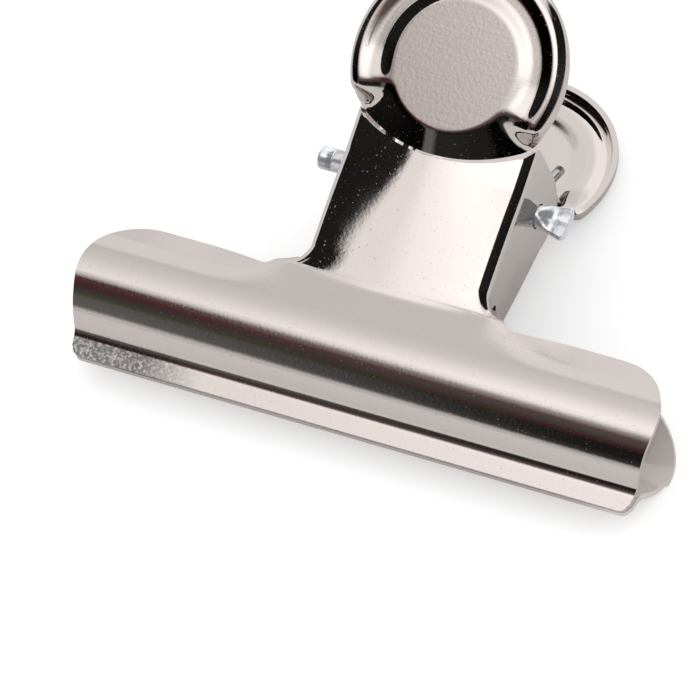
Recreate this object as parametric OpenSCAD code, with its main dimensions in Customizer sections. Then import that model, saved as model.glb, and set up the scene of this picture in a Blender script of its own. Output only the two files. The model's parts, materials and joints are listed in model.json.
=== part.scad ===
// Bulldog clip: two pressed steel plates that swing on a wire pin, closed by a coil spring.
// Built standing on its lips: X along the pin, -Y to the front, Z from the lips to the pads.
// The whole clip is then laid down on its back plate, which is how it rests on a desk.

/* [Sheet] */
// Thickness of the pressed steel sheet
sheet_t = 0.7; // [0.5:0.05:0.9]
// Space between the two lips when the clip is shut
lip_gap = 0.1; // [0.06:0.02:0.3]

/* [Jaws] */
// Widest part of the jaws
jaw_w = 75; // [66:1:90]
// Width of the jaws at the lips
lip_w = 72.2; // [64:0.2:75]
// Height at which the jaws reach their full width
flare_h = 8.5; // [6:0.5:9]
// Outer radius of the rolled jaw
roll_r = 8; // [7.2:0.1:9]
// Height of the roll's centre above the lips
roll_h = 10.3; // [9.8:0.1:11.5]
// How far the roll stands out from the middle of the clip
roll_out = 6.25; // [5.4:0.05:7]
// Radius of the crease between the lip and the roll
crease_r = 1.5; // [1:0.1:2.5]
// Lean of the wings above the roll, towards the middle, in degrees
wing_lean = 31; // [24:1:36]
// Height of the wings' top edge above the lips
wing_top = 16.9; // [16:0.1:18]
// Radius of the wings' outer top corners
wing_corner_r = 7.6; // [4:0.2:8.4]
// Radius of the lips' outer corners
lip_corner_r = 1; // [0.4:0.1:1.6]
// Radius of the hollow corner between a wing and the neck
neck_fillet_r = 4.6; // [3:0.2:6]

/* [Neck] */
// Outer width of the front plate's neck
neck_w = 23.2; // [20:0.2:26]
// Distance of the neck's outer face from the pin's axis
neck_out = 9.5; // [8.8:0.1:10.5]
// Lean of each neck away from the middle, in degrees
neck_lean = 12; // [10:0.5:14]
// Outer radius of the bend along each side of the neck
neck_bend_r = 1.8; // [1.2:0.1:2.4]
// Height above the lips at which the neck's face turns in to meet the wings
foot_top = 17.7; // [17.4:0.1:18.5]
// Slope of the neck's turned-in foot, in degrees
foot_slope = 32; // [25:1:45]
// Height of the pin's axis above the lips
pin_h = 32.7; // [31.5:0.1:34]
// Radius of the rounded ear round the pin
ear_r = 5.1; // [4.4:0.1:5.6]
// Play between the ears of the two plates, on each side
ear_gap = 0.1; // [0.08:0.01:0.2]
// Space from the cheeks' rear edges to the middle of the clip
cheek_gap = 0.3; // [0.2:0.05:0.6]
// Height at which a cheek starts to widen into its ear
cheek_top = 26; // [25:0.1:26.6]

/* [Thumb pads] */
// Outer radius of the round thumb pad
pad_r = 13.5; // [12.6:0.1:15]
// Distance of the pad's centre above the pin, along the neck
pad_rise = 13; // [12.4:0.1:14]
// Lean of the pad beyond the neck's own lean, in degrees
pad_lean = 6; // [3:0.5:8]
// Height of the pad's rim above the neck's face, at the crease
pad_step = 0.9; // [0.7:0.1:1.4]
// Depth of the hollow for the thumb
dish_depth = 0.9; // [0.5:0.1:1.2]
// Outer radius of the pad's rounded rim
rim_r = 1.4; // [1.2:0.1:1.8]
// Depth of the rim that is turned back all round the pad
skirt_depth = 1.9; // [1.8:0.1:2.4]
// Radius of the curved crease between the neck and the pad
crease_arc_r = 19; // [17:0.5:24]
// Distance of that crease above the pin, along the neck, on the centre line
crease_rise = 2.2; // [1.6:0.1:3]

/* [Pivot pin] */
// Diameter of the pin's wire
pin_d = 2.8; // [2.4:0.1:3.2]
// Play of the pin in its holes, all round
pin_play = 0.08; // [0.05:0.01:0.1]
// Length of the plain end that stands out of the left ear
pin_stub = 5.3; // [3:0.1:7]
// Distance from the plain end's tip to the fine ring round it
ring_in = 1.7; // [1.2:0.1:2.4]
// Width of that ring
ring_w = 0.6; // [0.5:0.1:0.8]
// Depth of that ring
ring_depth = 0.2; // [0.16:0.02:0.3]
// Length of the crushed end outside the right ear
tail_len = 4; // [3.2:0.1:5]
// Width of the crushed end at its tip
tail_w = 4.3; // [3.6:0.1:5]
// Thickness of the crushed end
tail_t = 1; // [0.8:0.1:1.4]
// Radius of the crushed end's corners
tail_corner_r = 0.6; // [0.3:0.1:1]

/* [Spring] */
// Diameter of the spring's wire
wire_d = 1.3; // [1:0.05:1.4]
// Radius of the coil, to the middle of its wire
coil_r = 2.9; // [2.6:0.05:3.2]
// Whole turns of the coil
coil_turns = 8; // [5:1:9]
// Distance from one turn to the next
coil_pitch = 1.8; // [1.75:0.01:1.9]
// Distance from the pin at which the spring's arms press on the plates
arm_reach = 13; // [11:0.1:15]
// Space between an arm and the plate that it presses on
arm_gap = 0.15; // [0.1:0.05:0.3]

/* [Hidden] */
$fn = 96;

join = 0.02;
corner_steps = 14;
lip_out = sheet_t + lip_gap / 2;
roll_y = roll_r - roll_out;
crease_y = -lip_out - crease_r;
crease_h = roll_h - sqrt((roll_r + crease_r) ^ 2 - (roll_y - crease_y) ^ 2);
crease_turn = atan2(roll_h - crease_h, roll_y - crease_y);
fillet_top = wing_top + neck_fillet_r;
wing_len = (fillet_top - roll_h) / cos(wing_lean);

front_half_w = neck_w / 2;
back_half_w = front_half_w - sheet_t - ear_gap;
hole_r = pin_d / 2 + pin_play;
neck_foot = pin_h * cos(neck_lean);
neck_crest = pad_rise;
ear_join = neck_out / cos(neck_lean);
ear_slope_share = 0.56;

face_at_crease = neck_out + pad_step;
pad_out = face_at_crease + (pad_rise - crease_rise) * sin(pad_lean);
pad_up = crease_rise + (pad_rise - crease_rise) * cos(pad_lean);
crest_r = pad_r - rim_r;
dish_r = (crest_r ^ 2 + dish_depth ^ 2) / (2 * dish_depth);

pad_turn = neck_lean + pad_lean;
pad_y = pad_out * cos(neck_lean) + pad_up * sin(neck_lean);
pad_z = pin_h + pad_up * cos(neck_lean) - pad_out * sin(neck_lean);
rim_y = pad_y - rim_r * cos(pad_turn) + crest_r * sin(pad_turn);
rim_z = pad_z + rim_r * sin(pad_turn) + crest_r * cos(pad_turn);
edge_y = pad_y - skirt_depth * cos(pad_turn) + pad_r * sin(pad_turn);
edge_z = pad_z + skirt_depth * sin(pad_turn) + pad_r * cos(pad_turn);
to_rim = [rim_y + roll_y, rim_z - roll_h];
rest_lean = atan2(to_rim.x, to_rim.y) - asin((roll_r - rim_r) / norm(to_rim));
desk = roll_r - roll_y * cos(rest_lean) - roll_h * sin(rest_lean);
lip_end = -lip_out * sin(rest_lean);
pad_end = max(rim_y * sin(rest_lean) + rim_z * cos(rest_lean) + rim_r,
    edge_y * sin(rest_lean) + edge_z * cos(rest_lean));

arm_clear = neck_out - sheet_t - wire_d / 2 - arm_gap;
arm_lean = asin((arm_clear - coil_r) / arm_reach) + neck_lean;
turn_deg = 360 * coil_turns + 180 - 2 * arm_lean;
ring_count = 8 * (coil_turns + 1);
wire_sides = 6;
coil_len = coil_pitch * turn_deg / 360;
arm_len = sqrt(arm_reach ^ 2 + arm_clear ^ 2 - coil_r ^ 2);

// A flat shape drawn in Y and Z, drawn out along X
module across(width) {
    rotate([90, 0, 90]) linear_extrude(width, center = true) children();
}

// A flat shape drawn in X and Z, drawn out along Y
module through(depth) {
    rotate([90, 0, 0]) linear_extrude(depth, center = true) children();
}

// A strip of bent sheet: its outer radius, and the angles where it starts and ends
module bend(outer_r, from_deg, to_deg) {
    far = 2 * outer_r;
    middle = (from_deg + to_deg) / 2;
    intersection() {
        difference() {
            circle(outer_r);
            circle(outer_r - sheet_t);
        }
        polygon([[0, 0], for (a = [from_deg, middle, to_deg]) far * [cos(a), sin(a)]]);
    }
}

// Side view of the jaw: lip, crease, roll and wing
module jaw_profile() {
    translate([-lip_out, 0]) square([sheet_t, crease_h + join]);
    translate([crease_y, crease_h]) bend(crease_r + sheet_t, 0, crease_turn);
    translate([roll_y, roll_h]) {
        bend(roll_r, 180 - wing_lean, 180 + crease_turn);
        rotate(180 - wing_lean) translate([roll_r - sheet_t, -wing_len])
            square([sheet_t, wing_len + join]);
    }
}

// Points of a rounded corner, a quarter turn from the given angle
function corner(r, x, z, from_deg) = [for (i = [0:corner_steps])
    let (a = from_deg + 90 * i / corner_steps) [x + r * cos(a), z + r * sin(a)]];
jaw_side = concat(
    corner(lip_corner_r, lip_w / 2 - lip_corner_r, lip_corner_r, -90),
    [[jaw_w / 2, flare_h]],
    corner(wing_corner_r, jaw_w / 2 - wing_corner_r, wing_top - wing_corner_r, 0));
jaw_points = len(jaw_side);

// Front view of the jaw's outline, with the hollow corners that run up into the neck
module jaw_outline(half_w) {
    polygon([each jaw_side, for (i = [1:jaw_points]) [-jaw_side[jaw_points - i].x, jaw_side[jaw_points - i].y]]);
    for (side = [-1, 1]) scale([side, 1]) difference() {
        translate([0, wing_top - lip_corner_r])
            square([half_w + neck_fillet_r, neck_fillet_r + lip_corner_r]);
        translate([half_w + neck_fillet_r - sheet_t / 4, fillet_top]) circle(neck_fillet_r);
    }
}

// Moves from the middle of the clip to the pin's axis, leaning with the neck
module on_neck() {
    translate([0, 0, pin_h]) rotate([neck_lean, 0, 0]) children();
}

// The space inside the neck, behind its face
module neck_hollow(half_w) {
    inside = half_w - sheet_t;
    on_neck() translate([-inside, sheet_t - neck_out, -neck_foot])
        cube([2 * inside, 2 * neck_out, 2 * neck_foot]);
}

module jaw(half_w) {
    difference() {
        intersection() {
            across(jaw_w) jaw_profile();
            through(4 * roll_r) jaw_outline(half_w);
        }
        intersection() {
            neck_hollow(half_w);
            translate([-jaw_w / 2, -2 * neck_out, foot_top - sheet_t]) cube([jaw_w, 4 * neck_out, neck_foot]);
        }
    }
}

// Outline of the neck's section at a depth inside the sheet, rounded at the front
module neck_block(half_w, depth = 0) {
    flat = half_w - neck_bend_r;
    translate([-flat, depth - neck_out]) square([2 * flat, neck_out]);
    translate([depth - half_w, neck_bend_r - neck_out]) square([2 * (half_w - depth), neck_out]);
    for (side = [-1, 1]) translate([side * flat, neck_bend_r - neck_out]) circle(neck_bend_r - depth);
}

// Face of the neck with its two side bends and the start of its cheeks
module neck_section(half_w) {
    difference() {
        neck_block(half_w);
        neck_block(half_w, sheet_t);
        translate([-half_w, neck_bend_r - neck_out + sheet_t / 2]) square([2 * half_w, 2 * neck_out]);
    }
}

// The space on the pad's side of the curved crease, with the crease line moved by grow
module above_crease(grow = 0) {
    translate([0, 0, crease_rise + crease_arc_r]) rotate([90, 0, 0])
        cylinder(h = 6 * neck_out, r = crease_arc_r + grow, center = true);
}

// Moves to the line where the neck's face turns in, sloping with its foot
module on_foot() {
    foot_y = (neck_out + (foot_top - pin_h) * sin(neck_lean)) / cos(neck_lean);
    translate([0, -foot_y, foot_top]) rotate([-foot_slope, 0, 0]) children();
}

module neck(half_w) {
    difference() {
        on_neck() translate([0, 0, -neck_foot]) linear_extrude(neck_foot + pad_rise) neck_section(half_w);
        on_neck() above_crease(-sheet_t / 2);
        on_foot() translate([-jaw_w / 2, -neck_out, -2 * neck_foot]) cube([jaw_w, 3 * neck_out, 2 * neck_foot]);
    }
}

// The turned-in foot that joins the neck's face to the wings
module foot(half_w) {
    intersection() {
        on_neck() translate([0, 0, -neck_foot]) linear_extrude(neck_foot) neck_block(half_w);
        on_foot() translate([-jaw_w / 2, -sheet_t, 0]) cube([jaw_w, neck_bend_r + 2 * sheet_t, sheet_t]);
    }
}

// Everything inside the roll and below it, where the cheeks must not reach
module jaw_core() {
    translate([roll_y, roll_h]) circle(roll_r - sheet_t / 2);
    translate([-neck_out, -roll_h]) square([2 * neck_out, 2 * roll_h]);
}

// Side view of a cheek: it ends close to the middle, and widens into the ear round the pin
module cheek_profile() {
    ear_foot = pin_h - ear_r * cos(atan(ear_slope_share));
    intersection() {
        union() {
            translate([0, pin_h]) circle(ear_r);
            polygon([
                [-2 * neck_out, wing_top - neck_bend_r], [-cheek_gap, wing_top - neck_bend_r],
                [-cheek_gap, cheek_top], [ear_slope_share * ear_r, ear_foot],
                [0, pin_h + ear_r], [-ear_join, pin_h + ear_r], [-2 * neck_out, pin_h + ear_r],
            ]);
            difference() {
                translate([-2 * neck_out, pin_h]) square([2 * neck_out - ear_r, pad_r / 2]);
                translate([0, pin_h]) rotate(neck_lean)
                    translate([skirt_depth - face_at_crease, 0]) square([neck_out, pad_r]);
            }
        }
        translate([0, pin_h]) rotate(neck_lean)
            translate([neck_bend_r - neck_out + sheet_t / 4, -neck_foot]) square([3 * neck_out, 2 * neck_foot]);
        above_roll();
    }
}

// Side view of the space outside the jaw's sheet, where the cheeks stand
module above_roll() {
    difference() {
        translate([-2 * neck_out, 0]) square([4 * neck_out, 2 * pin_h]);
        jaw_core();
    }
}

module cheeks(half_w) {
    for (side = [-1, 1]) translate([side * (half_w - sheet_t / 2), 0, 0]) difference() {
        across(sheet_t - 2 * join) cheek_profile();
        translate([0, 0, pin_h]) rotate([0, 90, 0]) cylinder(h = 2 * sheet_t, r = hole_r, center = true);
    }
}

// Half section of the round pad: a hollow face, a rounded rim and a skirt turned back
module pad_section() {
    translate([crest_r, -rim_r]) bend(rim_r, 0, 90);
    translate([crest_r + rim_r - sheet_t, -skirt_depth]) square([sheet_t, skirt_depth - rim_r]);
    intersection() {
        translate([0, dish_r - dish_depth]) difference() {
            circle(dish_r + sheet_t);
            circle(dish_r);
        }
        translate([0, -dish_depth - 2 * sheet_t]) square([crest_r, dish_depth + 2 * sheet_t]);
    }
}

module on_pad() {
    on_neck() translate([0, -neck_out - pad_step, crease_rise]) rotate([pad_lean, 0, 0])
        translate([0, 0, pad_rise - crease_rise]) children();
}

// A round bar square to the pad, that follows the curved crease with its edge moved by grow
module crease_bar(grow = 0) {
    translate([0, 0, crease_arc_r - pad_rise + crease_rise]) rotate([90, 0, 0])
        cylinder(h = 6 * skirt_depth, r = crease_arc_r + grow, center = true);
}

module pad() {
    on_pad() intersection() {
        rotate([90, 0, 0]) rotate_extrude() pad_section();
        crease_bar();
    }
}

// The low wall that lifts the pad above the neck, along the curved crease
module pad_wall(half_w) {
    on_pad() intersection() {
        difference() {
            crease_bar();
            crease_bar(-sheet_t);
        }
        translate([-half_w, sheet_t / 2, -pad_r]) cube([2 * half_w, pad_step + sheet_t / 4, pad_r]);
        rotate([90, 0, 0]) cylinder(h = 6 * skirt_depth, r = pad_r - sheet_t / 2, center = true);
    }
}

// One pressed plate, drawn as the front one
module plate(half_w) {
    jaw(half_w);
    neck(half_w);
    foot(half_w);
    cheeks(half_w);
    pad();
    pad_wall(half_w);
}

// Lays the clip on its back plate, with the middle of its floor area at the origin
module laid_down() {
    translate([0, -(lip_end + pad_end) / 2, desk]) rotate([rest_lean - 90, 0, 0]) children();
}

module front_plate() {
    color([0.78, 0.77, 0.75]) laid_down() plate(front_half_w);
}

module back_plate() {
    color([0.72, 0.72, 0.70]) laid_down() mirror([0, 1, 0]) plate(back_half_w);
}

// Front view of the pin's crushed end, a flat fishtail
module tail_outline() {
    tip = tail_len - tail_corner_r;
    half = tail_w / 2 - tail_corner_r;
    polygon([[0, -pin_d / 2], [tail_len / 2, -half], [tip, -half - tail_corner_r],
        [tip, half + tail_corner_r], [tail_len / 2, half], [0, pin_d / 2]]);
    translate([tip, -half]) square([tail_corner_r, 2 * half]);
    for (side = [-1, 1]) translate([tip, side * half]) circle(tail_corner_r);
}

module pivot_pin() {
    right = front_half_w + ear_gap;
    left = front_half_w + pin_stub;
    color([0.85, 0.86, 0.88]) laid_down() translate([0, 0, pin_h]) {
        rotate([0, 90, 0]) difference() {
            translate([0, 0, -left]) cylinder(h = left + right, d = pin_d);
            translate([0, 0, ring_in - left]) difference() {
                cylinder(h = ring_w, d = 2 * pin_d);
                translate([0, 0, -ring_w]) cylinder(h = 3 * ring_w, d = pin_d - 2 * ring_depth);
            }
        }
        intersection() {
            translate([right, 0, 0]) rotate([0, 90, 0]) cylinder(h = tail_len / 2, d = pin_d);
            translate([right, 0, 0]) linear_extrude(2 * pin_d, center = true)
                polygon([[0, -pin_d / 2], [tail_len / 2, -tail_t / 2], [tail_len / 2, tail_t / 2], [0, pin_d / 2]]);
        }
        translate([right, 0, 0]) through(tail_t) tail_outline();
    }
}

// A point of the spring's wire round the pin, at a share of the way along the coil
function coil_point(share) =
    let (a = 180 + arm_lean + share * turn_deg)
    [(share - 0.5) * coil_len, coil_r * cos(a), coil_r * sin(a)];
// The way that an arm points, up and out to its own plate
function arm_way(side) = [0, side * sin(arm_lean), cos(arm_lean)];
spring_path = [
    coil_point(0) + arm_len * arm_way(-1),
    for (i = [0:ring_count]) coil_point(i / ring_count),
    coil_point(1) + arm_len * arm_way(1),
];
function unit(v) = v / norm(v);
function way_at(path, i) =
    unit(path[min(i + 1, len(path) - 1)] - path[max(i - 1, 0)]);

module torsion_spring() {
    path = spring_path;
    count = len(path);
    rings = [for (i = [0:count - 1])
        let (way = way_at(path, i), out = unit(cross(way, [1, 0, 0])), up = cross(way, out))
        for (k = [0:wire_sides - 1])
            let (a = 360 * k / wire_sides)
            path[i] + wire_d / 2 * (cos(a) * out + sin(a) * up)];
    skin = [for (i = [0:count - 2], k = [0:wire_sides - 1])
        let (a = i * wire_sides + k, b = i * wire_sides + (k + 1) % wire_sides)
        each [[a, b, b + wire_sides], [a, b + wire_sides, a + wire_sides]]];
    ends = [for (k = [1:wire_sides - 2])
        each [[0, k + 1, k],
              [(count - 1) * wire_sides, (count - 1) * wire_sides + k, (count - 1) * wire_sides + k + 1]]];
    color([0.6, 0.6, 0.6]) laid_down() translate([0, 0, pin_h])
        polyhedron(points = rings, faces = concat(skin, ends));
}

// Least gap between the spring's turns, measured on its points
turn_rings = floor(ring_count * 360 / turn_deg);
spring_gaps = [for (i = [1:ring_count], j = [i + turn_rings - 2:ring_count])
    norm(spring_path[i] - spring_path[j]) - wire_d];
echo(least_spring_gap = min(spring_gaps), rest_lean = rest_lean, desk = desk);

back_plate();
front_plate();
pivot_pin();
torsion_spring();
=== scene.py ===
import json
from math import cos, exp, pi, radians, sin, sqrt

import bmesh
import bpy
from mathutils import Matrix, Vector


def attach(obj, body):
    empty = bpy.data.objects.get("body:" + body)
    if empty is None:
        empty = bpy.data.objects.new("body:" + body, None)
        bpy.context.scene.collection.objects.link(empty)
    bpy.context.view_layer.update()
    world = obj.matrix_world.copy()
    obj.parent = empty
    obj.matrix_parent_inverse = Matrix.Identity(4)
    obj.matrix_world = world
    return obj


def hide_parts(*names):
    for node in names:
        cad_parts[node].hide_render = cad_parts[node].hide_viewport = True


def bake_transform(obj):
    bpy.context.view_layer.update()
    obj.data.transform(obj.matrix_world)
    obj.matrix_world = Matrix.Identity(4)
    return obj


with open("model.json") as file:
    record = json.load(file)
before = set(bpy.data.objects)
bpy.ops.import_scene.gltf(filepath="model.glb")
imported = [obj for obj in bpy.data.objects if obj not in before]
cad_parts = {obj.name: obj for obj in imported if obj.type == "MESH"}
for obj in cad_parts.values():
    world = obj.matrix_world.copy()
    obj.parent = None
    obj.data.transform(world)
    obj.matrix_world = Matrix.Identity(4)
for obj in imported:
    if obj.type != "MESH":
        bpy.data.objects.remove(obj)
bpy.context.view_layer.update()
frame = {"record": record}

# The clip is drawn in millimetres, standing on its lips, and then laid down on its back plate.
# The camera stands a metre off and looks down on it. It is rolled, as in the photograph, so that
# the jaws run down from left to right.
metres, pin_z, shut_lean = 0.001, 32.7, 14.236376
hinge_x, hinge_y, hinge_z = frame["record"]["behaviour"]["joints"][0]["pos_m"]
lay_down = (Matrix.Translation((hinge_x, hinge_y, hinge_z)) @ Matrix.Rotation(radians(shut_lean - 90), 4, "X")
            @ Matrix.Scale(metres, 4) @ Matrix.Translation((0, 0, -pin_z)))
turn, dip, roll = radians(22.5), radians(-18.27), radians(23.252)
distance, aim_z, aim_right, aim_up = 1000, 18, 6.23, 5.815
focal_pixels, picture_pixels, film_width = 8515, 700, 36
ahead = Vector((-sin(turn) * cos(dip), cos(turn) * cos(dip), -sin(dip)))
aside = Vector((cos(turn), sin(turn), 0))
above = aside.cross(ahead)
right = cos(roll) * aside + sin(roll) * above
upward = -sin(roll) * aside + cos(roll) * above
stand = Matrix((right, upward, -ahead)).transposed().to_4x4()
stand.translation = Vector((0, 0, aim_z)) - aim_right * right - aim_up * upward - distance * ahead
place = lay_down @ stand
lens = bpy.data.cameras.new("camera")
lens.sensor_width = film_width
lens.lens = focal_pixels / picture_pixels * film_width
lens.clip_end = 20
camera = bpy.data.objects.new("camera", lens)
camera.matrix_world = Matrix.LocRotScale(place.translation, place.to_quaternion(), None)
bpy.context.scene.collection.objects.link(camera)
bpy.context.scene.camera = camera

# Back plate: sheet steel 0.7 mm thick, pressed and rolled in one piece, then nickel plated.
# Its neck is a little narrower than the front one's, so its two ears sit inside the other pair.
# The right-hand end of its jaw is made dull, so the white room light shows on it as a painted pale reflection
# in place of the bright light its inner side reflects.
wall = 0.7
# Heights are above the lips, and what stands out does so from the middle of the shut clip
lip_out, lip_lean, lip_half, lip_corner, flare_z = 0.753, radians(8), 36.1, 1.0, 8.5
crease_r, roll_r, roll_in, roll_z = 1.7, 8.0, 1.75, 10.3
roll_from, roll_to = radians(-62.65), radians(31)
wing_top, jaw_half = 16.9, 37.5
upright_z, upright_out, upright_slope = 11.69, 6.13, 0.176
face_out, face_slope, face_fold = 9.0367, 0.222, 0.1
foot_sag, sag_top, sag_height = 0.12, 20, 3
web_top, web_r, bend_r, web_bend = 21.0, 4.6, 1.7, 1.1
cheek_gap, ear_z, ear_rise, ear_reach, ear_r = 0.3, 26.0, 2.25, 2.81, 5.1
neck_stand, neck_lean = 9.5, radians(12)
arc_r, arc_rise = 19.0, 2.2
pad_r, pad_stand, pad_rise, pad_lean = 13.5, 10.25, 10.8, radians(6)
rim_r, skirt, hole_r, drill_length, edge_r = 1.4, 0.5, 1.55, 60, 0.07
lip_rows, crease_rows, roll_rows, wing_rows, fine_rows, web_rows, neck_rows = 9, 12, 56, 18, 12, 14, 48
face_cols, bend_cols, cheek_cols, wing_cols = 16, 10, 24, 28
spokes, dish_rings, rim_rings, skirt_rings = 160, 44, 10, 5


def smooth(t):
    """Goes from 0 to 1 with level ends."""
    t = min(max(t, 0), 1)
    return t * t * (3 - 2 * t)


def soft_least(a, b, k):
    """The lesser of two, with the corner between them rounded over k."""
    t = max(k - abs(a - b), 0) / k
    return min(a, b) - t * t * k / 4


def wing_out(z):
    """How far the wing's plane stands out, above the roll."""
    roll_end_z = roll_z + roll_r * sin(roll_to)
    return roll_r * cos(roll_to) - roll_in - (z - roll_end_z) * sin(roll_to) / cos(roll_to)


def middle_out(z):
    """How far the sheet stands out below the neck, where it runs up nearly upright from the roll."""
    return upright_out - upright_slope * (z - upright_z)


def neck_out(z, share):
    """How far the neck's face stands out: it leans, and sags a little at the corners of its foot."""
    sag = foot_sag * share ** 4 * max(min((sag_top - z) / sag_height, 1), 0)
    return -soft_least(-middle_out(z), sag - face_out - face_slope * (z - pin_z), face_fold)


def jaw_edge(z, wing_corner):
    """Half width of the jaw at a height: rounded lip corner, flare, and the wing's round corner."""
    if z < lip_corner:
        return lip_half - lip_corner + sqrt(max(lip_corner ** 2 - (lip_corner - z) ** 2, 0))
    if z > wing_top - wing_corner:
        rise = min(z - wing_top + wing_corner, wing_corner)
        return jaw_half - wing_corner + sqrt(wing_corner ** 2 - rise ** 2)
    return min(lip_half + (jaw_half - lip_half) * z / flare_z, jaw_half)


def ear_rear(z):
    """Rear edge of a cheek: straight below, then out and round the pin's hole."""
    if z > ear_z + ear_rise:
        return sqrt(max(ear_r ** 2 - (z - pin_z) ** 2, 0))
    return ear_reach * max(z - ear_z, 0) / ear_rise - cheek_gap


def jaw_rows():
    """Height and stand-out of each row of the jaw's sheet; a wing's own rows follow its plane."""
    lip_top = roll_z + roll_r * sin(roll_from) - crease_r * (sin(-roll_from) - sin(lip_lean))
    rows = []
    for k in range(lip_rows):
        z = lip_top * (k / lip_rows) ** 1.5
        rows.append((z, lip_out + z * sin(lip_lean)))
    for k in range(crease_rows):
        a = lip_lean - (roll_from + lip_lean) * k / crease_rows
        rows.append((lip_top + crease_r * (sin(a) - sin(lip_lean)),
                     lip_out + lip_top * sin(lip_lean) + crease_r * (cos(lip_lean) - cos(a))))
    for k in range(roll_rows + 1):
        a = roll_from + (roll_to - roll_from) * k / roll_rows
        rows.append((roll_z + roll_r * sin(a), roll_r * cos(a) - roll_in))
    roll_end_z = rows[-1][0]
    rows += [(roll_end_z + (wing_top - roll_end_z) * k / wing_rows, None) for k in range(1, wing_rows + 1)]
    return rows


def side_lengths(step, reach, half):
    """A side's bend angle, its bend back out, its cheek and its flat, from the neck's face to a row's end."""
    bends = bend_r + web_bend
    if step >= bends:
        flare = min(web_bend, max(reach - half, 0))
        return pi / 2, flare, max(step - bend_r - flare, 0), max(reach - half - flare, 0)
    low, high = 0.0, pi / 2 - 1e-6
    for _ in range(30):
        middle = (low + high) / 2
        if bends * (1 - cos(middle)) + bends * (1 - sin(middle)) * sin(middle) / cos(middle) < step:
            low = middle
        else:
            high = middle
    return low, web_bend, bends * (1 - sin(low)) / cos(low), max(reach - half - web_bend, 0)


def side_point(s, angle, flare, cheek, half):
    """The point at a distance along that side: how far across, and how far below the face."""
    x = half - bend_r
    if s <= bend_r * angle:
        return x + bend_r * sin(s / bend_r), bend_r * (1 - cos(s / bend_r))
    x, drop, s = x + bend_r * sin(angle), bend_r * (1 - cos(angle)), s - bend_r * angle
    if s <= cheek:
        return x + s * cos(angle), drop + s * sin(angle)
    x, drop, s = x + cheek * cos(angle), drop + cheek * sin(angle), s - cheek
    if flare > 0 and s <= flare * angle:
        a = angle - s / flare
        return x + flare * (sin(angle) - sin(a)), drop + flare * (cos(a) - cos(angle))
    return x + flare * sin(angle) + s - flare * angle, drop + flare * (1 - cos(angle))


def neck_top(i, across):
    """Height of the sheet's last row: the curved crease under the pad, and the ears' tops beside it."""
    along = arc_rise + arc_r - sqrt(arc_r ** 2 - across ** 2)
    crease = pin_z - neck_stand * sin(neck_lean) + along * cos(neck_lean)
    return crease + (pin_z + ear_r - crease) * smooth((i - face_cols) / bend_cols)


def side_way(c, angle, flare, cheek, flat):
    """How far along a side its column c lies; on a full step the first columns keep to the bend."""
    bend = bend_r * angle
    total, share = bend + cheek + flare * angle + flat, angle / (pi / 2)
    beyond = (total - bend) * (c - bend_cols) / cheek_cols
    aligned = bend * c / bend_cols if c <= bend_cols else bend + beyond
    return share * aligned + (1 - share) * total * c / (bend_cols + cheek_cols)


def sheet_form(half, z, out, share):
    """A row's face and end, both as stand-outs, how far across the end lies, and the swell below the neck."""
    level, web_x = min(z, wing_top), half + web_r - wall / 4
    leant = wing_out(level) if out is None else out
    swell = max(middle_out(level) - leant, 0) if z > upright_z else 0
    face = neck_out(z, share) if out is None else out + swell
    if z <= wing_top:
        end, reach = leant + swell, web_x
    elif z <= web_top:
        fade = (z - wing_top) / (web_top - wing_top)
        end = middle_out(wing_top) * (1 - fade) + cheek_gap * fade
        reach = web_x - sqrt(web_r ** 2 - (web_top - z) ** 2)
        swell *= 1 - fade
    else:
        end, reach, swell = -ear_rear(z), half, 0
    return max(face, end), end, reach, swell


def crowned(across, z, step):
    """How far the neck's face falls back to its sides: it is slightly crowned, and more so near the pad."""
    low_r, top_r, from_z, height, full_step = 120, 75, 20, 12, 0.5
    arched = 1 / low_r + max(min((z - from_z) / height, 1), 0) ** 2 / top_r
    return across ** 2 / 2 * arched * min(step / full_step, 1)


def plate_rows():
    """All rows of one plate's sheet, and which row is the first above the jaw and the first up the neck."""
    fine_rise = 0.12
    rows = jaw_rows()
    jaw_count, fine_top = len(rows), wing_top + fine_rise * fine_rows
    rows += [(wing_top + fine_rise * k, None) for k in range(1, fine_rows + 1)]
    rows += [(fine_top + (web_top - fine_top) * k / web_rows, None) for k in range(1, web_rows + 1)]
    return rows + [(web_top, None)] * neck_rows, jaw_count, len(rows)


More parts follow.
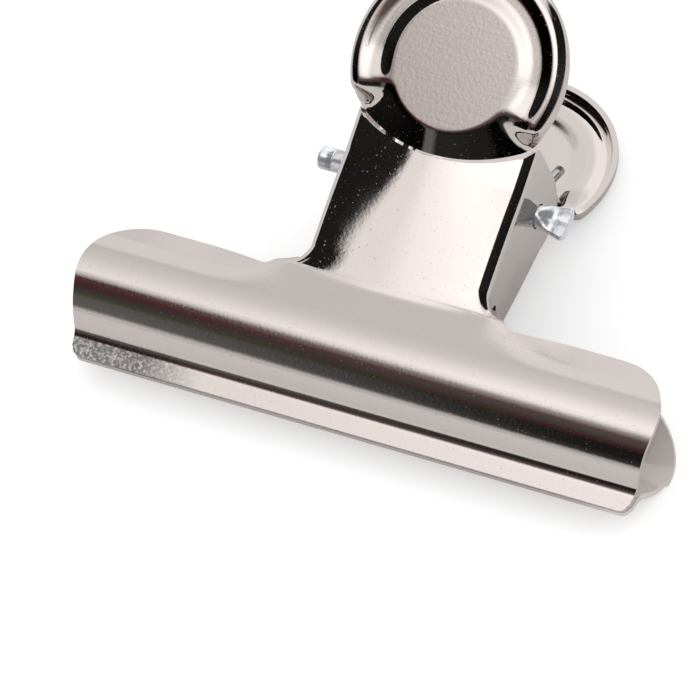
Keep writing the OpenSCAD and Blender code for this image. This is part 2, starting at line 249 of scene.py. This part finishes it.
def press_plate(half, wing_corner, out_sign):
    """One plate's jaw, neck and cheeks, pressed out of a flat grid; out_sign is -1 for the front plate."""
    spread_most, spread_step = 2.3, 0.6
    swell_end, swell_run, sink_z, sink_share, sink_x, sink_run = 24, 11.5, 14, 0.62, 12.5, 3.5
    rows, jaw_count, web_count = plate_rows()
    side_end = face_cols + bend_cols + cheek_cols
    inner_half, web_x = half - bend_r, half + web_r - wall / 4
    bm = bmesh.new()
    bmesh.ops.create_grid(bm, x_segments=side_end + wing_cols, y_segments=len(rows) - 1, size=1)
    scrap = []
    for v in bm.verts:
        i = round((v.co.x + 1) / 2 * (side_end + wing_cols))
        j = round((v.co.y + 1) / 2 * (len(rows) - 1))
        if i > side_end and j >= jaw_count:
            scrap.append(v)
            continue
        z, out = rows[j]
        across = min(i / face_cols, 1) * inner_half
        if j >= web_count:
            z += (neck_top(i, across) - web_top) * (j - web_count + 1) / neck_rows
        face, end, reach, swell = sheet_form(half, z, out, across / inner_half)
        step = face - end
        crown = crowned(across, z, step)
        # The hollow corners spread the row's side outwards
        spread = max(reach - half, 0) if z > wing_top else spread_most * smooth(step / spread_step)
        angle, flare, cheek, flat = side_lengths(step, reach, half + spread)
        if i <= face_cols:
            x, drop = (inner_half + spread) * i / face_cols, 0
        elif i <= side_end:
            along = side_way(i - face_cols, angle, flare, cheek, flat)
            x, drop = side_point(along, angle, flare, cheek, half + spread)
            drop *= (step - crown) / step if step > crown else 1
        else:
            x = web_x + (jaw_edge(z, wing_corner) - web_x) * (i - side_end) / wing_cols
            drop = step - crown
        # The swell below the neck dies away along the wing, and the sheet beside it sinks a little
        near = smooth((swell_end - x) / swell_run)
        drop += swell * (1 - near)
        if sink_z < z <= wing_top and i > face_cols:
            sunk = sink_share * swell * near * smooth((x - sink_x) / sink_run)
            z -= sunk * (z - sink_z) / (wing_top - sink_z)
        v.co = (x, out_sign * (face - crown - drop), z)
    bmesh.ops.delete(bm, geom=scrap, context="VERTS")
    bmesh.ops.mirror(bm, geom=bm.verts[:] + bm.edges[:] + bm.faces[:], axis="X", merge_dist=0.001)
    bmesh.ops.remove_doubles(bm, verts=bm.verts, dist=0.002)
    bmesh.ops.dissolve_degenerate(bm, edges=bm.edges, dist=0.002)
    bmesh.ops.recalc_face_normals(bm, faces=bm.faces)
    neck_middle = Vector((0, out_sign * neck_stand, (web_top + pin_z) / 2))
    middle = min(bm.faces, key=lambda f: (f.calc_center_median() - neck_middle).length)
    if middle.normal.y * out_sign < 0:
        bmesh.ops.reverse_faces(bm, faces=bm.faces)
    return bm


def grooved(r):
    """Depth of the pad's face at a radius: a shallow groove runs round its level middle."""
    depth, inner, inner_run, outer, outer_run = 0.35, 7.8, 1.6, 10.6, 1.4
    return depth * (smooth((r - inner) / inner_run) - smooth((r - outer) / outer_run))


def turned_rim(k, up, edge):
    """The pad's form at ring k: how far out it lies, and how deep below the level middle."""
    crest = edge - rim_r
    if k <= dish_rings:
        out = crest * k / dish_rings
        return out, grooved(out) * smooth((up + 0.5) / 0.5)
    if k <= dish_rings + rim_rings:
        b = pi / 2 * (k - dish_rings) / rim_rings
        return crest + rim_r * sin(b), rim_r * (1 - cos(b))
    return edge, rim_r + skirt * (k - dish_rings - rim_rings) / skirt_rings


def step_down(s, up, sideways, edge):
    """The form below the pad, where a step leads down to the neck, at a share of the way out."""
    least_run, run_bow, height, slope, bow, ease = 3.0, 0.02, 1.26, 0.105, 0.011, 0.15
    t = max(s - 0.5, 0) / 0.5
    run = least_run + run_bow * sideways ** 2
    foot = height + slope * (pad_rise + edge * min(up, 0)) + bow * sideways ** 2
    eased = (t * t / (2 * ease) if t < ease else t - ease / 2) / (1 - ease / 2)
    return (edge - run) * min(s / 0.5, 1) + run * t, foot * eased


def press_pad(out_sign):
    """The round pad: level in the middle, its rim turned back, on a curved step up from the neck."""
    corner, rim_foot, rim_fade = 0.8, -0.62, 0.24
    arc_in, rings = arc_r - pad_rise, dish_rings + rim_rings + skirt_rings
    bm = bmesh.new()
    bmesh.ops.create_grid(bm, x_segments=spokes, y_segments=rings, size=1)
    for v in bm.verts:
        a = (v.co.x + 1) * pi
        k = round((v.co.y + 1) / 2 * rings)
        up = cos(a)
        creased = up * arc_in + sqrt(arc_r ** 2 - arc_in ** 2 * (1 - up ** 2)) if up < 0 else 2 * arc_r
        edge = soft_least(pad_r, creased, corner)
        rim_out, rim_deep = turned_rim(k, up, edge)
        step_out, step_deep = step_down(k / rings, up, edge * sin(a), edge)
        rimmed = smooth((up - rim_foot) / rim_fade)
        r = step_out + (rim_out - step_out) * rimmed
        v.co = (r * sin(a), step_deep + (rim_deep - step_deep) * rimmed, r * up)
    bmesh.ops.remove_doubles(bm, verts=bm.verts, dist=0.001)
    bmesh.ops.dissolve_degenerate(bm, edges=bm.edges, dist=0.001)
    on_neck = Matrix.Translation((0, 0, pin_z)) @ Matrix.Rotation(neck_lean, 4, "X")
    on_crease = Matrix.Translation((0, -pad_stand, arc_rise)) @ Matrix.Rotation(pad_lean, 4, "X")
    bmesh.ops.transform(bm, verts=bm.verts, matrix=on_neck @ on_crease @ Matrix.Translation((0, 0, pad_rise)))
    if out_sign > 0:
        bmesh.ops.scale(bm, vec=(1, -1, 1), verts=bm.verts)
    bmesh.ops.recalc_face_normals(bm, faces=bm.faces)
    if sum(f.normal.y * out_sign for f in bm.faces) < 0:
        bmesh.ops.reverse_faces(bm, faces=bm.faces)
    return bm


def benched(name, bm):
    """Makes a piece of a shaped mesh and puts it on the bench."""
    mesh = bpy.data.meshes.new(name)
    bm.to_mesh(mesh)
    bm.free()
    piece = bpy.data.objects.new(name, mesh)
    bpy.context.scene.collection.objects.link(piece)
    return piece


def finish_plate(name, half, wing_corner, out_sign):
    """Joins neck and pad, gives them the sheet's thickness, punches the holes and rounds the cut edges."""
    bm = press_plate(half, wing_corner, out_sign)
    pad = press_pad(out_sign)
    pad_mesh = bpy.data.meshes.new("pad")
    pad.to_mesh(pad_mesh)
    pad.free()
    bm.from_mesh(pad_mesh)
    bpy.data.meshes.remove(pad_mesh)
    for face in bm.faces:
        face.smooth = True
    piece = benched(name, bm)
    sheet = piece.modifiers.new("sheet", "SOLIDIFY")
    sheet.thickness, sheet.offset, sheet.use_even_offset = wall, -1, True
    drill = bmesh.new()
    on_pin = Matrix.Translation((0, 0, pin_z)) @ Matrix.Rotation(pi / 2, 4, "Y")
    bmesh.ops.create_cone(drill, segments=64, radius1=hole_r, radius2=hole_r, depth=drill_length,
                          cap_ends=True, matrix=on_pin)
    cutter = benched("hole", drill)
    punch = piece.modifiers.new("holes", "BOOLEAN")
    punch.object, punch.operation, punch.solver = cutter, "DIFFERENCE", "EXACT"
    edge = piece.modifiers.new("edges", "BEVEL")
    edge.width, edge.segments, edge.limit_method, edge.angle_limit = edge_r, 2, "ANGLE", radians(60)
    edge.harden_normals = True
    shaped = bpy.data.meshes.new_from_object(piece.evaluated_get(bpy.context.evaluated_depsgraph_get()))
    piece.modifiers.clear()
    shaped.transform(lay_down)
    piece.data = shaped
    bpy.data.objects.remove(cutter)
    return piece


def add_node(tree, kind, inputs, **settings):
    """A node whose inputs get plain values, or links from other nodes."""
    node = tree.nodes.new("ShaderNode" + kind)
    for name, value in settings.items():
        setattr(node, name, value)
    for name, value in inputs.items():
        if isinstance(value, bpy.types.NodeSocket):
            tree.links.new(value, node.inputs[name])
        else:
            node.inputs[name].default_value = value
    return node


def ranged(tree, source, low, high, start=0, end=1, **settings):
    """Goes from start to end as the source goes from low to high."""
    limits = {"From Min": low, "From Max": high, "To Min": start, "To Max": end}
    return add_node(tree, "MapRange", {"Value": source, **limits}, **settings).outputs[0]


def maths(tree, kind, *values):
    """The result of one sum on values or links."""
    return add_node(tree, "Math", dict(enumerate(values)), operation=kind).outputs[0]


def speckle(tree, place, scale, detail):
    """Even noise over the surface; scale is in waves to a metre."""
    return add_node(tree, "TexNoise", {"Vector": place, "Scale": scale, "Detail": detail}).outputs[0]


def plated(name, colour, roughness, grain, lump):
    """Bright plating: a mirror broken by fine grain, rubbing marks along the sheet and a few dull specks."""
    smear_scale, speck_scale, rub_scale, rub_deep = 110, 3600, 2600, 0.0000016
    metal = bpy.data.materials.new(name)
    metal.use_nodes = True
    tree = metal.node_tree
    shader = tree.nodes["Principled BSDF"]
    shader.inputs["Base Color"].default_value = colour
    shader.inputs["Metallic"].default_value = 1
    place = add_node(tree, "TexCoord", {}).outputs["Object"]
    stretch = {"Vector": place, "Rotation": (0.3, 0.2, 0.15), "Scale": (0.02, 1, 1)}
    along = add_node(tree, "Mapping", stretch).outputs[0]
    smears = ranged(tree, speckle(tree, place, smear_scale, 4), 0.5, 0.72, roughness, roughness + 0.05)
    specks = ranged(tree, speckle(tree, place, speck_scale, 0), 0.775, 0.8, 0, 0.25)
    tree.links.new(maths(tree, "ADD", smears, specks), shader.inputs["Roughness"])
    grained = {"Height": speckle(tree, place, grain, 3), "Distance": lump}
    normal = add_node(tree, "Bump", grained).outputs[0]
    rubbed = {"Height": speckle(tree, along, rub_scale, 2), "Distance": rub_deep, "Normal": normal}
    tree.links.new(add_node(tree, "Bump", rubbed).outputs[0], shader.inputs["Normal"])
    return metal


def way_across(tree):
    """The place on the clip, split in X along the pin, Y towards the pads and Z up."""
    return add_node(tree, "SeparateXYZ", {0: add_node(tree, "TexCoord", {}).outputs["Object"]}).outputs


front_half, ear_play, back_corner = 11.6, 0.1, 10.1
back = finish_plate("back_plate_pressing", front_half - wall - ear_play, back_corner, 1)
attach(back, "back")
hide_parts("back_plate")
back.data.materials.clear()
nickel_tone, nickel_grain, nickel_lump = (0.68, 0.62, 0.59, 1), 2200, 0.000003
pale_paint_start, pale_paint_full = 0.029, 0.034
nickel = plated("back_plate_nickel", nickel_tone, 0.03, nickel_grain, nickel_lump)
back.data.materials.append(nickel)
tree = nickel.node_tree
# Painted pale reflection: past the jaw's right end the metal turns diffuse and takes the white room light.
painted_pale_metallic = ranged(tree, way_across(tree)["X"], pale_paint_start, pale_paint_full, 1, 0.04)
tree.links.new(painted_pale_metallic, tree.nodes["Principled BSDF"].inputs["Metallic"])

# Front plate: the same pressing with a wider neck, whose ears lap over the back plate's ears.
# The left end of its lip is painted a dark mottled grey, a painted dark reflection standing in for a lip
# that is not quite flat, and the wings beside the neck have a haze from handling.
front_corner = 7.6
front = finish_plate("front_plate_pressing", front_half, front_corner, -1)
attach(front, "front")
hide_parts("front_plate")
front.data.materials.clear()
nickel = plated("front_plate_nickel", nickel_tone, 0.03, nickel_grain, nickel_lump)
front.data.materials.append(nickel)
tree = nickel.node_tree
shader = tree.nodes["Principled BSDF"]
across = way_across(tree)
lip_end_x, lip_end_y = (-0.019, -0.027), (-0.0266, -0.0274)
haze_inner, haze_outer, haze_front, haze = (0.0115, 0.014), (0.034, 0.027), (-0.019, -0.016), 0.26
dark_lip_tone, mottle_scale = (0.17, 0.16, 0.165, 1), 2600
mottle = speckle(tree, add_node(tree, "TexCoord", {}).outputs["Object"], mottle_scale, 5)
left_end, lip_face = ranged(tree, across["X"], *lip_end_x), ranged(tree, across["Y"], *lip_end_y)
# Painted dark reflection: the left end of the lip is mixed towards a dark mottled grey.
painted_dark_lip = maths(tree, "MULTIPLY", maths(tree, "MULTIPLY", left_end, lip_face), ranged(tree, mottle, 0.25, 0.55))
tone = add_node(tree, "MixRGB", {"Fac": painted_dark_lip, "Color1": nickel_tone, "Color2": dark_lip_tone})
tree.links.new(tone.outputs[0], shader.inputs["Base Color"])
aside_x = maths(tree, "ABSOLUTE", across["X"])
beside_neck = maths(tree, "MULTIPLY", ranged(tree, aside_x, *haze_inner), ranged(tree, aside_x, *haze_outer))
handled = maths(tree, "MULTIPLY", beside_neck, ranged(tree, across["Y"], *haze_front))
polish = shader.inputs["Roughness"].links[0].from_socket
tree.links.new(maths(tree, "MULTIPLY_ADD", handled, haze, polish), shader.inputs["Roughness"])

# Pivot pin: zinc-plated wire through the four ears, plain at its left end but for a fine ring.
# Its right end is crushed flat to a fishtail, which stops it from slipping out.
pin_r, stub, tail, tip_round = 1.4, 5.3, 4.0, 0.3
pin_left, pin_root, pin_tip = -front_half - stub, front_half, front_half + tail
ring_x, ring_half, ring_deep, ring_wall = -15.05, 0.13, 0.12, 0.04


def plain_end(x):
    """Radius of the pin short of its crushed end: its tip is rounded, and a fine ring runs round it."""
    if x < pin_left + tip_round:
        return pin_r - tip_round + sqrt(max(tip_round ** 2 - (pin_left + tip_round - x) ** 2, 0))
    return pin_r - ring_deep if abs(x - ring_x) < ring_half else pin_r


def crushed_end(t, c, s):
    """Where a place on the wire's round, given by its cosine and sine, ends up t of the way along the tail."""
    flat_half, flare, corner, dent, dent_half = 0.5, 0.8, 0.86, 0.22, 0.35
    pressed = smooth(t * 1.7)
    wide = pin_r + flare * min(t * 1.15, 1) ** 1.3
    if t > corner:
        wide -= flare * (1 - sqrt(max(1 - ((t - corner) / (1 - corner)) ** 2, 0)))
    squared = c * (1 - pressed) + max(min(c * 2.2, 1), -1) * pressed
    thick = pin_r + (flat_half - pin_r) * pressed
    return thick * (1 - dent * pressed * exp(-(s * wide / dent_half) ** 2)) * squared, wide * s


bm = bmesh.new()
centred = Matrix.Translation(((pin_left + pin_tip) / 2, 0, 0)) @ Matrix.Rotation(pi / 2, 4, "Y")
bmesh.ops.create_cone(bm, cap_ends=True, segments=64, radius1=pin_r, radius2=pin_r, depth=pin_tip - pin_left,
                      matrix=centred)
cuts = [pin_left + tip_round * k / 6 for k in range(1, 7)]
for side, past in ((-1, ring_wall), (-1, -ring_wall / 2), (1, -ring_wall / 2), (1, ring_wall)):
    cuts.append(ring_x + side * (ring_half + past))
cuts += [pin_root + tail * k / 40 for k in range(40)]
for x in cuts:
    everything = bm.verts[:] + bm.edges[:] + bm.faces[:]
    bmesh.ops.bisect_plane(bm, geom=everything, plane_co=(x, 0, 0), plane_no=(1, 0, 0))
for v in bm.verts:
    x, c, s = v.co.x, v.co.y / pin_r, v.co.z / pin_r
    if x > pin_root:
        y, z = crushed_end((x - pin_root) / tail, c, s)
    else:
        y, z = plain_end(x) * c, plain_end(x) * s
    v.co = (x, y, z + pin_z)
bmesh.ops.transform(bm, verts=bm.verts, matrix=lay_down)
bmesh.ops.recalc_face_normals(bm, faces=bm.faces)
for face in bm.faces:
    face.smooth = len(face.verts) < 8
pin = benched("pivot_pin_wire", bm)
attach(pin, "pin")
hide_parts("pivot_pin")
zinc_tone = (0.86, 0.88, 0.93, 1)
zinc = plated("pin_zinc", zinc_tone, 0.2, 1800, 0.00003)
zinc.node_tree.nodes["Principled BSDF"].inputs["Metallic"].default_value = 0.7
pin.data.materials.append(zinc)

# Spring: eight close turns of spring wire round the pin, between the ears.
# Its two arms press the pads apart, and with them the jaws together.
wire_r, coil_r, turns, pitch, arm_length = 0.65, 2.9, 8, 1.8, 14.99
arm_lean, arm_steps = radians(35.1), 12
swept = 2 * pi * turns + pi - 2 * arm_lean
coil_length = pitch * swept / (2 * pi)
front_way = Vector((0, -sin(arm_lean), cos(arm_lean)))
back_way = Vector((0, sin(arm_lean), cos(arm_lean)))
bm = bmesh.new()
start = Vector((-coil_length / 2, -coil_r * cos(arm_lean), pin_z - coil_r * sin(arm_lean)))
tilt = Vector((0, 0, 1)).rotation_difference(front_way).to_matrix().to_4x4()
bmesh.ops.create_circle(bm, cap_ends=True, segments=20, radius=wire_r,
                        matrix=Matrix.Translation(start + arm_length * front_way) @ tilt)
disc = bm.faces[:]


def draw_on(disc, step):
    """Draws the end of the wire on by one step."""
    made = bmesh.ops.extrude_face_region(bm, geom=disc)["geom"]
    bmesh.ops.translate(bm, verts=[g for g in made if isinstance(g, bmesh.types.BMVert)], vec=step)
    bmesh.ops.delete(bm, geom=disc, context="FACES_ONLY")
    return [g for g in made if isinstance(g, bmesh.types.BMFace)]


for _ in range(arm_steps):
    disc = draw_on(disc, -front_way * arm_length / arm_steps)
coil_steps = 32 * turns + 10
spun = bmesh.ops.spin(bm, geom=disc, cent=(0, 0, pin_z), axis=(1, 0, 0), angle=swept, steps=coil_steps,
                      dvec=(coil_length / coil_steps, 0, 0))["geom_last"]
disc = [g for g in spun if isinstance(g, bmesh.types.BMFace)]
for _ in range(arm_steps):
    disc = draw_on(disc, back_way * arm_length / arm_steps)
bmesh.ops.transform(bm, verts=bm.verts, matrix=lay_down)
bmesh.ops.recalc_face_normals(bm, faces=bm.faces)
for face in bm.faces:
    face.smooth = len(face.verts) < 8
spring = benched("torsion_spring_wire", bm)
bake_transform(spring)
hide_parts("torsion_spring")
steel_tone = (0.45, 0.44, 0.43, 1)
spring.data.materials.append(plated("spring_steel", steel_tone, 0.2, 3000, 0.000008))

# White studio: a sheet of white card lies on the floor of a bright room.
# The room past the card is dark on the near side and at both ends, which the metal shows as bands.
card_half, card_glow = 0.28, 0.4
bm = bmesh.new()
bmesh.ops.create_grid(bm, x_segments=1, y_segments=1, size=card_half)
floor = benched("floor_card", bm)
card = bpy.data.materials.new("white_card")
card.use_nodes = True
tree = card.node_tree
tree.nodes.clear()
paper = add_node(tree, "BsdfDiffuse", {"Color": (0.78, 0.78, 0.78, 1)})
by_camera = add_node(tree, "LightPath", {}).outputs["Is Camera Ray"]
glow = add_node(tree, "Emission", {"Strength": maths(tree, "MULTIPLY", by_camera, card_glow)})
both = add_node(tree, "AddShader", {0: paper.outputs[0], 1: glow.outputs[0]})
add_node(tree, "OutputMaterial", {"Surface": both.outputs[0]})
floor.data.materials.append(card)

world = bpy.data.worlds.new("studio")
bpy.context.scene.world = world
world.use_nodes = True
tree = world.node_tree
tree.nodes.clear()
way = add_node(tree, "SeparateXYZ", {0: add_node(tree, "TexCoord", {}).outputs["Generated"]}).outputs
height = maths(tree, "ARCTAN2", way["Y"], way["Z"])


def band(stops):
    """The room's light, at half strength, by degrees from straight overhead; plus is towards the handles."""
    ramp = add_node(tree, "ValToRGB", {0: ranged(tree, height, -pi, pi)})
    keys = ramp.color_ramp.elements
    while len(keys) > 1:
        keys.remove(keys[-1])
    for n, (angle, light) in enumerate(stops):
        key = keys[0] if n == 0 else keys.new((angle + 180) / 360)
        key.position = (angle + 180) / 360
        colour = light if isinstance(light, tuple) else (light,) * 3
        key.color = (*(c / 2 for c in colour), 1)
    return ramp.outputs["Color"]


def aside_share(low, high):
    """Goes smoothly from 0 to 1 as the way to the side goes from low to high."""
    return ranged(tree, way["X"], low, high, interpolation_type="SMOOTHSTEP")


# Each stop is an angle and the light there, grey or tinted by the room
near_left = band([(-150, 0.05), (-115, 0.06), (-106, 0.6), (-87, 0.66), (-81, 0.16), (-64, 0.13),
                  (-59, (0.075, 0.085, 0.045)), (-54, 0.06), (-46, (0.07, 0.03, 0.03)),
                  (-32, (0.09, 0.035, 0.035)), (-25, 0.75), (-19, 1.1), (-8, 1.0), (8, 0.84), (30, 0.72),
                  (36, 0.92), (60, 0.92), (66, 0.8), (90, 0.9), (130, 0.6), (170, 0.3)])
near_right = band([(-150, 0.04), (-110, 0.05), (-101, 0.45), (-94, 0.6), (-88, 0.6), (-83, 0.04),
                   (-74, 0.012), (-62, 0.012), (-56, (0.06, 0.025, 0.025)), (-46, 0.08),
                   (-40, (0.13, 0.08, 0.08)), (-33, 0.4), (-26, 1.15), (-18, 1.25), (-8, 1.1), (8, 0.84),
                   (30, 0.72), (36, 0.92), (60, 0.9), (90, 0.9)])
left_to_right = aside_share(-0.40, -0.33)
bands = add_node(tree, "MixRGB", {"Fac": left_to_right, "Color1": near_left, "Color2": near_right})
# Both ends of the room are dark, but not high up on the handles' side
handle_side = ranged(tree, height, radians(12), radians(26), interpolation_type="SMOOTHSTEP")
behind = maths(tree, "MULTIPLY", handle_side, aside_share(0.45, 0.3))
between_ends = maths(tree, "MULTIPLY", aside_share(-0.49, -0.45), aside_share(0.34, 0.22))
open_room = maths(tree, "MAXIMUM", between_ends, behind)
right_lift = maths(tree, "ADD", maths(tree, "MULTIPLY", aside_share(-0.42, -0.1), 0.32), 1.0)
doubled = maths(tree, "MULTIPLY", maths(tree, "MULTIPLY", open_room, right_lift), 2.0)
strength = maths(tree, "ADD", doubled, 0.03)
shaded = {"Fac": 1, "Color1": bands.outputs[0], "Color2": strength}
room = add_node(tree, "MixRGB", shaded, blend_type="MULTIPLY")
by_mirror = add_node(tree, "LightPath", {}).outputs["Is Glossy Ray"]
seen = add_node(tree, "MixRGB", {"Fac": by_mirror, "Color1": (1, 1, 1, 1), "Color2": room.outputs[0]})
glow = add_node(tree, "Background", {"Color": seen.outputs[0]})
add_node(tree, "OutputWorld", {"Surface": glow.outputs[0]})
bpy.context.scene.view_settings.view_transform = "Standard"
